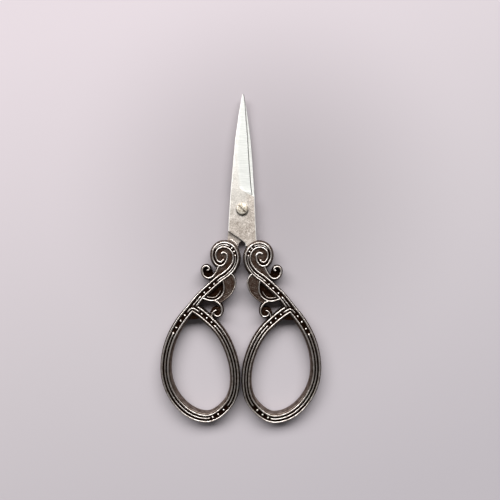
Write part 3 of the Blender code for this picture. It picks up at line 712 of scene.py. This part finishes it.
def screw_head():
    """A domed head cut by a slot: rows across the slot, each ring a chord over and back.

    The dome falls by 0.12 r^2, r being the share of the radius, and by 0.26 ease^2 at the rim.
    """
    radius = HEAD_DIAMETER / 2
    half_slot = SLOT_WIDTH / 2
    wall_half = 0.005
    outer = radius * np.sin(np.linspace(0.09, 1, 16) * math.pi / 2) * 0.9995
    outer = outer[outer > half_slot + 0.04]
    side = np.concatenate([[half_slot - wall_half, half_slot + wall_half], outer])
    rows = np.concatenate([-side[::-1], [-half_slot / 2, 0.0, half_slot / 2], side])
    chord = np.sqrt(np.maximum(radius ** 2 - rows ** 2, 1e-6))
    u = chord[:, None] * np.sin(np.linspace(-math.pi / 2, math.pi / 2, 25))
    v = np.broadcast_to(rows[:, None], u.shape)
    from_axis = np.hypot(u, v) / radius
    dome = HEAD_TOP - 0.12 * from_axis ** 2 - 0.26 * ease((from_axis - 0.8) / 0.2) ** 2
    slot = np.abs(v) < half_slot
    top = np.where(slot, np.minimum(dome - 0.05, HEAD_TOP - SLOT_DEPTH), dome)
    seat = BLADE_TOP + 0.02
    cosine, sine = math.cos(SLOT_ANGLE), math.sin(SLOT_ANGLE)
    x, y = u * cosine - v * sine, u * sine + v * cosine
    upper = np.stack([x, y, top], axis=2)
    lower = np.stack([x, y, np.full_like(x, seat)], axis=2)[:, ::-1]
    # painted shade round the rim on the side toward the handles, and darker in the slot, most
    # toward one end
    toward_handles = 0.5 - 0.5 * y / np.maximum(from_axis * radius, 1e-6)
    grime = ease((from_axis - 0.9) / 0.05) * ease((toward_handles - 0.45) / 0.3)
    grime = np.where(slot, 0.3 + 0.4 * ease(0.5 + u / radius), grime)
    return shell(np.concatenate([upper, lower], axis=1),
                 grime=np.concatenate([grime, np.ones_like(grime)], axis=1))


def screw_shank():
    """The shoulder, thread and peened end: a profile turned about the axis."""
    rear_bottom = THICKNESS - BLADE_TOP
    profile = np.array([
        (SHOULDER_RADIUS, BLADE_TOP + 0.1),
        (SHOULDER_RADIUS, MIDDLE),
        (THREAD_RADIUS, MIDDLE - 0.02),
        (THREAD_RADIUS, rear_bottom + 0.1),
        (PEEN_RADIUS, rear_bottom - 0.02),
        (PEEN_RADIUS * 0.99, rear_bottom - 0.3),
        (PEEN_RADIUS * 0.9, rear_bottom - 0.5),
        (PEEN_RADIUS * 0.7, PEEN_BOTTOM + 0.12),
        (PEEN_RADIUS * 0.4, PEEN_BOTTOM + 0.03),
        (PEEN_RADIUS * 0.1, PEEN_BOTTOM)])
    angle = np.linspace(0, 2 * math.pi, 40, endpoint=False)
    x = profile[:, :1] * np.cos(angle)
    y = profile[:, :1] * np.sin(angle)
    z = np.broadcast_to(profile[:, 1:], x.shape)
    return shell(np.stack([x, y, z], axis=2), grime=np.full(x.shape, 0.3))


# Finishes

def paint(code):
    """An sRGB hex colour as linear red, green, blue and 1."""
    parts = [int(code[k:k + 2], 16) / 255 for k in (1, 3, 5)]
    return [p / 12.92 if p <= 0.04045 else ((p + 0.055) / 1.055) ** 2.4 for p in parts] + [1.0]


def node(tree, kind, values=None, links=None, stops=None, **settings):
    """Adds a node, sets its settings, socket values and ramp stops, and links its sockets."""
    made = tree.nodes.new(kind)
    for name, value in settings.items():
        setattr(made, name, value)
    for socket, value in (values or {}).items():
        made.inputs[socket].default_value = value
    for socket, source in (links or {}).items():
        tree.links.new(source, made.inputs[socket])
    for number, (place, colour) in enumerate(stops or ()):
        elements = made.color_ramp.elements
        stop = elements[number] if number < 2 else elements.new(place)
        stop.position = place
        stop.color = colour if len(colour) == 4 else [*colour * 3, 1.0]
    return made


def new_finish(name):
    """A material with an empty tree; returns it, the tree and its shader."""
    finish = bpy.data.materials.new(name)
    finish.use_nodes = True
    tree = finish.node_tree
    tree.nodes.clear()
    shader = node(tree, "ShaderNodeBsdfPrincipled", {"Metallic": 1.0})
    node(tree, "ShaderNodeOutputMaterial", links={"Surface": shader.outputs[0]})
    return finish, tree, shader


def antiqued_casting():
    """Zinc casting, silver plated, blackened in the recesses and rubbed bright on the rails.

    The eye sees near-white rounded lines over brown-black floors, with dull grey walls between.
    """
    finish, tree, shader = new_finish("antiqued_silver_plated_casting")
    # tarnish keeps the plating from brightening where it is seen edge-on
    shader.inputs["Specular Tint"].default_value = paint("#B4ADA7")
    place = node(tree, "ShaderNodeTexCoord").outputs["Object"]
    polish = node(tree, "ShaderNodeAttribute", attribute_name="polish").outputs["Fac"]
    # patches of about 1.5 mm where the black was rubbed more or less, and 0.3 mm cast grain
    patches = node(tree, "ShaderNodeTexNoise", {"Scale": 650.0, "Detail": 3.0, "Roughness": 0.6},
                   {"Vector": place}).outputs["Fac"]
    cast_grain = node(tree, "ShaderNodeTexNoise", {"Scale": 3200.0, "Detail": 2.0},
                      {"Vector": place}).outputs["Fac"]
    # worn = polish * (1.4 patches + 0.2) + (0.2 grain - 0.1)
    uneven = node(tree, "ShaderNodeMath", {1: 1.4, 2: 0.2}, {0: patches},
                  operation="MULTIPLY_ADD").outputs[0]
    speckled = node(tree, "ShaderNodeMath", {1: 0.2, 2: -0.1}, {0: cast_grain},
                    operation="MULTIPLY_ADD").outputs[0]
    worn = node(tree, "ShaderNodeMath", links={0: polish, 1: uneven, 2: speckled},
                operation="MULTIPLY_ADD", use_clamp=True).outputs[0]
    colour = node(tree, "ShaderNodeValToRGB", links={"Fac": worn}, stops=[
        (0.0, paint("#1C0F09")), (1.0, paint("#FFF7F0")), (0.16, paint("#3B271B")),
        (0.40, paint("#7A6F68")), (0.70, paint("#C1B5AC"))])
    dull = node(tree, "ShaderNodeValToRGB", links={"Fac": worn},
                stops=[(0.0, [0.6]), (1.0, [0.33]), (0.4, [0.44])])
    bump = node(tree, "ShaderNodeBump", {"Strength": 0.25, "Distance": 0.00003},
                {"Height": cast_grain})
    tree.links.new(colour.outputs["Color"], shader.inputs["Base Color"])
    tree.links.new(dull.outputs["Color"], shader.inputs["Roughness"])
    tree.links.new(bump.outputs["Normal"], shader.inputs["Normal"])
    return finish


def blade_steel():
    """Stainless strip, stamped and tumbled matt, with the facet ground on a wheel.

    The eye sees a warm speckled grey with a painted highlight along its edges, a near-white facet
    with fine lines across the blade, and painted shade in a few narrow places.
    """
    finish, tree, shader = new_finish("stamped_stainless_steel")
    place = node(tree, "ShaderNodeTexCoord").outputs["Object"]
    ground = node(tree, "ShaderNodeAttribute", attribute_name="ground").outputs["Fac"]
    rubbed = node(tree, "ShaderNodeAttribute", attribute_name="rubbed").outputs["Fac"]
    # tumbling leaves dull spots about 0.4 mm across over clouds of about 4 mm
    spots = node(tree, "ShaderNodeTexNoise", {"Scale": 2500.0, "Detail": 3.0, "Roughness": 0.7},
                 {"Vector": place}).outputs["Fac"]
    clouds = node(tree, "ShaderNodeTexNoise", {"Scale": 260.0, "Detail": 2.0},
                  {"Vector": place}).outputs["Fac"]
    mixed = node(tree, "ShaderNodeMix", {"Factor": 0.35}, {"A": spots, "B": clouds},
                 data_type="FLOAT").outputs["Result"]
    matt = node(tree, "ShaderNodeValToRGB", links={"Fac": mixed}, stops=[
        (0.36, paint("#8A7E74")), (0.66, paint("#EEE6DE")), (0.5, paint("#C0B6AC"))])
    # grinding lines across the blade, drawn about 0.3 mm apart so that they show
    stretched = node(tree, "ShaderNodeMapping", {"Scale": (0.06, 1.0, 0.3)}, {"Vector": place})
    lines = node(tree, "ShaderNodeTexNoise", {"Scale": 3200.0, "Detail": 3.0},
                 {"Vector": stretched.outputs["Vector"]}).outputs["Fac"]
    bright = node(tree, "ShaderNodeValToRGB", links={"Fac": lines}, stops=[
        (0.3, paint("#DADBD6")), (0.7, paint("#EDEDE9"))])
    colour = node(tree, "ShaderNodeMix", links={"Factor": ground, "A": matt.outputs["Color"],
                                                "B": bright.outputs["Color"]}, data_type="RGBA")
    # a painted highlight: the colour is mixed toward near-white along the edges
    edged = node(tree, "ShaderNodeMix", {"B": paint("#FFFDF8")},
                 {"Factor": rubbed, "A": colour.outputs["Result"]}, data_type="RGBA")
    # painted shade: the colour is mixed toward dark brown by the shade mark
    grime = node(tree, "ShaderNodeAttribute", attribute_name="grime").outputs["Fac"]
    painted_shade_colour = node(tree, "ShaderNodeMix", {"B": paint("#2A211B")},
                 {"Factor": grime, "A": edged.outputs["Result"]}, data_type="RGBA")
    tree.links.new(painted_shade_colour.outputs["Result"], shader.inputs["Base Color"])
    dull = node(tree, "ShaderNodeMapRange", {"To Min": 0.6, "To Max": 0.5}, {"Value": ground})
    tree.links.new(dull.outputs["Result"], shader.inputs["Roughness"])
    # the grinding lines spread the light along the blade
    spread = node(tree, "ShaderNodeMath", {1: 0.95}, {0: ground}, operation="MULTIPLY")
    tree.links.new(spread.outputs[0], shader.inputs["Anisotropic"])
    along = node(tree, "ShaderNodeVectorTransform", {"Vector": (0.0, 1.0, 0.0)},
                 vector_type="VECTOR", convert_from="OBJECT", convert_to="WORLD")
    tree.links.new(along.outputs["Vector"], shader.inputs["Tangent"])
    relief = node(tree, "ShaderNodeMix", links={"Factor": ground, "A": spots, "B": lines},
                  data_type="FLOAT")
    bump = node(tree, "ShaderNodeBump", {"Strength": 0.3, "Distance": 0.00002},
                {"Height": relief.outputs["Result"]})
    tree.links.new(bump.outputs["Normal"], shader.inputs["Normal"])
    return finish


def screw_finish():
    """Turned steel, nickel plated: a cream shine, darker in the slot, with painted shade round the
    rim.
    """
    finish, tree, shader = new_finish("turned_nickel_plated_steel")
    place = node(tree, "ShaderNodeTexCoord").outputs["Object"]
    grime = node(tree, "ShaderNodeAttribute", attribute_name="grime").outputs["Fac"]
    # worn in spots about 0.7 mm across
    wear = node(tree, "ShaderNodeTexNoise", {"Scale": 1400.0, "Detail": 3.0},
                {"Vector": place}).outputs["Fac"]
    clean = node(tree, "ShaderNodeValToRGB", links={"Fac": wear}, stops=[
        (0.4, paint("#B8AB98")), (0.6, paint("#FBF4E6"))])
    # the colour is mixed toward dark brown by the mark that holds the painted shade and the darker
    # slot
    colour = node(tree, "ShaderNodeMix", {"B": paint("#3A2E25")},
                  {"Factor": grime, "A": clean.outputs["Color"]}, data_type="RGBA")
    dull = node(tree, "ShaderNodeMapRange", {"To Min": 0.5, "To Max": 0.6}, {"Value": grime})
    bump = node(tree, "ShaderNodeBump", {"Strength": 0.2, "Distance": 0.00002}, {"Height": wear})
    tree.links.new(colour.outputs["Result"], shader.inputs["Base Color"])
    tree.links.new(dull.outputs["Result"], shader.inputs["Roughness"])
    tree.links.new(bump.outputs["Normal"], shader.inputs["Normal"])
    return finish


# Pieces

SHARP_ANGLE = math.radians(48)


def mesh_piece(name, shells, body, finish, turned_over=False, replaced=None):
    """Puts the shells into one mesh in metres; turned over, x and the height are reversed."""
    points, faces, marks, start = [], [], {}, 0
    for corners, sides, ends, spread in shells:
        points.append(corners)
        faces += (sides + start).tolist() + (ends + start).tolist()
        for mark, values in spread.items():
            marks.setdefault(mark, []).append(values)
        start += len(corners)
    places = np.concatenate(points)
    if turned_over:
        places = places * (-1, 1, -1) + (0, 0, THICKNESS)
    mesh = bpy.data.meshes.new(name)
    mesh.from_pydata(((places + (0, PIVOT_Y, 0)) * MM).tolist(), [], faces)
    for mark, values in marks.items():
        layer = mesh.attributes.new(mark, "FLOAT", "POINT")
        layer.data.foreach_set("value", np.concatenate(values).astype(np.float32))
    mesh.shade_smooth()
    mesh.set_sharp_from_angle(angle=SHARP_ANGLE)
    mesh.materials.append(finish)
    made = bpy.data.objects.new(name, mesh)
    bpy.context.scene.collection.objects.link(made)
    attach(made, body)
    if replaced:
        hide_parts(replaced)


def build_scissors():
    """Both halves from the same shells, and the screw; each handle's band replaces its node."""
    casting, steel, plated = antiqued_casting(), blade_steel(), screw_finish()
    handle, front_blade = handle_shells(), [blade()]
    for side, body, over in (("right", "front_half", False), ("left", "rear_half", True)):
        for group, shells in handle.items():
            mesh_piece(side + "_" + group, shells, body, casting, turned_over=over,
                       replaced=side + "_handle" if group == "band" else None)
    mesh_piece("upper_blade", front_blade, "front_half", steel,
               replaced="front_blade")
    mesh_piece("lower_blade", front_blade, "rear_half", steel, turned_over=True,
               replaced="rear_blade")
    mesh_piece("screw", [screw_head(), screw_shank()], "rear_half", plated,
               replaced="pivot_screw")


# Table, light and camera, in metres

TABLE_WIDTH = 2.4
# a painted soft shadow on the sheet: its middle, its radius and its darkest share
POOL_X, POOL_Y, POOL_RADIUS, POOL_SHADE = 0.009, 0.024, 0.08, 0.75
WINDOW_PLACE, WINDOW_SIZE, WINDOW_WATTS = (-0.10, 0.8, 0.95), (2.4, 0.6), 35.0
CAMERA_X, CAMERA_Y, CAMERA_HEIGHT = 0.00285, 0.00288, 0.193
CAMERA_TURN = math.radians(0.5)
SENSOR_MM, LENS_MM = 36.0, 38.95


def build_table():
    """A plain pale sheet, painted darker away from the window and with a soft shadow round the
    blades.
    """
    mesh = bpy.data.meshes.new("table")
    half = TABLE_WIDTH / 2
    mesh.from_pydata([(-half, -half, 0), (half, -half, 0), (half, half, 0), (-half, half, 0)],
                     [], [(0, 1, 2, 3)])
    table = bpy.data.objects.new("table", mesh)
    bpy.context.scene.collection.objects.link(table)
    finish, tree, shader = new_finish("matt_paper")
    shader.inputs["Metallic"].default_value = 0.0
    shader.inputs["Roughness"].default_value = 0.9
    shader.inputs["Specular IOR Level"].default_value = 0.2
    place = node(tree, "ShaderNodeTexCoord").outputs["Object"]
    # painted falloff: the sheet's colour grows paler over 0.2 m, from the near right to the far
    # left
    turned_place = node(tree, "ShaderNodeMapping", {"Rotation": (0, 0, math.radians(-115)),
                                                    "Scale": (5.0, 5.0, 1.0),
                                                    "Location": (0.5, 0.0, 0.0)},
                        {"Vector": place})
    along = node(tree, "ShaderNodeSeparateXYZ", links={"Vector": turned_place.outputs["Vector"]})
    colour = node(tree, "ShaderNodeValToRGB", links={"Fac": along.outputs["X"]}, stops=[
        (0.0, paint("#BAB4B9")), (1.0, paint("#CDC3C8")), (0.45, paint("#C2BBBF"))])
    # painted soft shadow: the colour falls to POOL_SHADE of itself at the pool's middle
    from_pool = node(tree, "ShaderNodeMapping", {"Location": (-POOL_X, -POOL_Y, 0.0)},
                     {"Vector": place})
    distance = node(tree, "ShaderNodeVectorMath", links={0: from_pool.outputs["Vector"]},
                    operation="LENGTH")
    painted_shadow_pool = node(tree, "ShaderNodeMapRange", {"From Max": POOL_RADIUS, "To Min": POOL_SHADE},
                {"Value": distance.outputs["Value"]}, interpolation_type="SMOOTHSTEP")
    shaded = node(tree, "ShaderNodeVectorMath", links={0: colour.outputs["Color"],
                                                       1: painted_shadow_pool.outputs["Result"]},
                  operation="MULTIPLY")
    tree.links.new(shaded.outputs["Vector"], shader.inputs["Base Color"])
    mesh.materials.append(finish)


def window_lamp():
    """A rectangular lamp at the window's place, turned to face the scissors' middle."""
    data = bpy.data.lights.new("window", "AREA")
    data.shape = "RECTANGLE"
    data.size, data.size_y = WINDOW_SIZE
    data.energy = WINDOW_WATTS
    made = bpy.data.objects.new("window", data)
    bpy.context.scene.collection.objects.link(made)
    x, y, z = WINDOW_PLACE
    made.location = WINDOW_PLACE
    made.rotation_euler = (math.atan2(math.hypot(x, y), z), 0.0, math.atan2(x, -y))


def build_light():
    """A wide window high beyond the blades' tips, and a dim room, darkest straight overhead.

    The room's grey follows the height of a direction plus 0.12 of its reach toward the window.
    """
    world = bpy.data.worlds.new("room")
    world.use_nodes = True
    bpy.context.scene.world = world
    tree = world.node_tree
    tree.nodes.clear()
    toward = node(tree, "ShaderNodeTexCoord").outputs["Generated"]
    height = node(tree, "ShaderNodeSeparateXYZ", links={"Vector": toward})
    toward_window = node(tree, "ShaderNodeMath", {1: 0.12},
                         {0: height.outputs["Y"], 2: height.outputs["Z"]},
                         operation="MULTIPLY_ADD")
    sky = node(tree, "ShaderNodeValToRGB", links={"Fac": toward_window.outputs[0]}, stops=[
        (0.0, [0.06]), (1.0, [0.05]), (0.5, [0.11]), (0.8, [0.13]), (0.92, [0.08])])
    room = node(tree, "ShaderNodeBackground", {"Strength": 1.0}, {"Color": sky.outputs["Color"]})
    node(tree, "ShaderNodeOutputWorld", links={"Surface": room.outputs[0]})
    window_lamp()


def build_camera():
    """Straight down over the table, turned half a degree, as the photograph was taken."""
    data = bpy.data.cameras.new("camera")
    data.sensor_width = SENSOR_MM
    data.lens = LENS_MM
    data.clip_start, data.clip_end = 0.01, 10.0
    camera = bpy.data.objects.new("camera", data)
    camera.location = (CAMERA_X, CAMERA_Y, CAMERA_HEIGHT)
    camera.rotation_euler = (0.0, 0.0, CAMERA_TURN)
    bpy.context.scene.collection.objects.link(camera)
    bpy.context.scene.camera = camera


build_scissors()
build_table()
build_light()
build_camera()
bpy.context.scene.view_settings.view_transform = "Standard"
